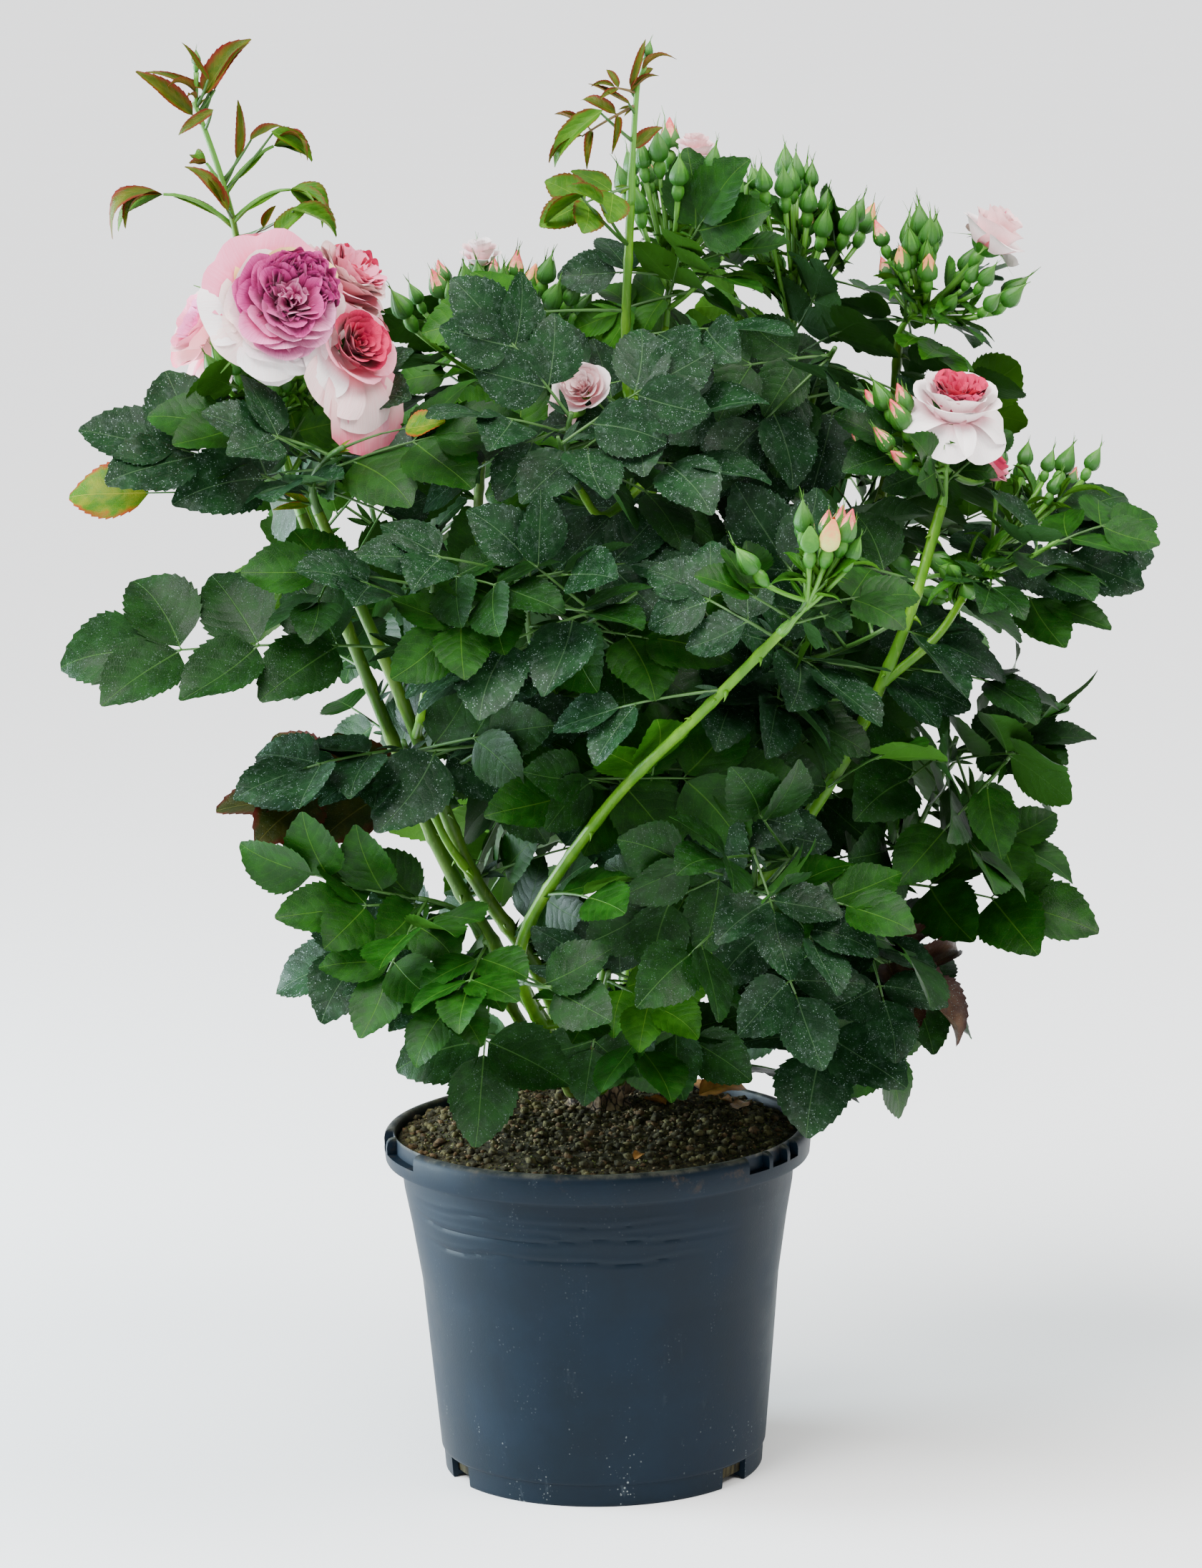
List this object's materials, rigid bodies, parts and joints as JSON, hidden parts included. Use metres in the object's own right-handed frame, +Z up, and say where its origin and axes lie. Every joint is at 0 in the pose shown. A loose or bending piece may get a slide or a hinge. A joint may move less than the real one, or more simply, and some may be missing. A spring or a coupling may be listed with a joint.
{
  "type": "rose bush in nursery pot",
  "caption": "Bushy garden rose with arching green canes, compound serrated leaves, bud trusses and ruffled pink double blooms, standing in a tapered blue-grey nursery pot of soil.",
  "frame": {"origin": "centre of the pot's flat underside, at the mount named base", "axes": "+Z up, along the plant's height; -Y towards the plant's front, as pictured; +X to the viewer's right"},
  "size_m": [0.598, 0.4536, 0.805],
  "materials": {
    "pot_plastic": "moulded slate blue-grey plastic, slightly scuffed and dusty",
    "potting_soil": "dark crumbly potting soil with a little moss",
    "crown_bark": "rough grey-brown bark",
    "cane_bark": "smooth green cane skin with thorns",
    "leaves": "satin dark green leaf",
    "young_leaves": "yellow-green and reddish young leaf",
    "blooms": "soft pink, cream and magenta petals"
  },
  "bodies": {
    "root": {"blooms_left": "blooms", "cane_far_right": "cane_bark", "cane_front": "cane_bark", "cane_left_front": "cane_bark", "cane_left_rear": "cane_bark", "cane_low_left": "cane_bark", "cane_low_right": "cane_bark", "cane_rear_left": "cane_bark", "cane_rear_middle": "cane_bark", "cane_rear_right": "cane_bark", "cane_right": "cane_bark", "cane_tall": "cane_bark", "crown": "crown_bark", "leaves_front_left": "leaves", "leaves_front_middle": "leaves", "leaves_front_right": "leaves", "leaves_left_middle": "leaves", "leaves_left_wing": "leaves", "leaves_low_left": "leaves", "leaves_low_middle": "leaves", "leaves_low_right": "leaves", "leaves_middle_left": "leaves", "leaves_middle_right": "leaves", "leaves_rear_left": "leaves", "leaves_rear_low": "leaves", "leaves_rear_middle": "leaves", "leaves_rear_right": "leaves", "leaves_right_middle": "leaves", "leaves_upper_front": "leaves", "leaves_upper_left": "leaves", "leaves_upper_right": "leaves", "pot": "pot_plastic", "shoot_front_left": "cane_bark", "shoot_front_middle": "cane_bark", "shoot_front_right": "cane_bark", "shoot_left_middle": "cane_bark", "shoot_left_wing": "cane_bark", "shoot_low_middle": "cane_bark", "shoot_low_right": "cane_bark", "shoot_middle_left": "cane_bark", "shoot_middle_right": "cane_bark", "shoot_rear_left": "cane_bark", "shoot_rear_low": "cane_bark", "shoot_rear_right": "cane_bark", "shoot_right_upper": "cane_bark", "shoot_top_middle": "cane_bark", "shoot_upper_front": "cane_bark", "shoot_upper_right": "cane_bark", "shoot_young": "cane_bark", "soil": "potting_soil", "tall_shoot": "young_leaves", "truss_front": "leaves", "truss_right_bloom": "leaves", "truss_right_top": "leaves", "truss_right_upper": "leaves", "truss_top_left": "leaves", "truss_top_middle": "leaves", "truss_top_right": "leaves", "young_shoot_left": "young_leaves"}
  },
  "joints": []
}
